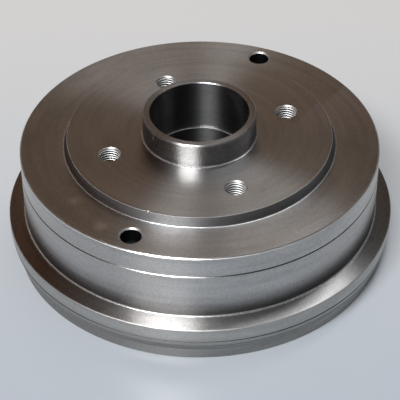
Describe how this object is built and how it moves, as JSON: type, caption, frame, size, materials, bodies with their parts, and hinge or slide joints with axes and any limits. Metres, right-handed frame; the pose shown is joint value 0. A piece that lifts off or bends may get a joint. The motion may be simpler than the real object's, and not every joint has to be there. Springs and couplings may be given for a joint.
{
  "type": "brake drum",
  "caption": "Turned cast iron rear brake drum with its own hub, a bearing bore, threaded wheel bolt holes and a flanged open end.",
  "frame": {"origin": "centre of the open end, in the plane the drum stands on", "axes": "+Z along the axle axis from the open end to the wheel side, and +X through one of the wheel bolt holes"},
  "size_m": [0.2072, 0.2072, 0.0808],
  "materials": {
    "turned_iron": "turned bare grey iron, satin, lightly oiled"
  },
  "bodies": {
    "root": {"brake_drum": "turned_iron"}
  },
  "joints": []
}
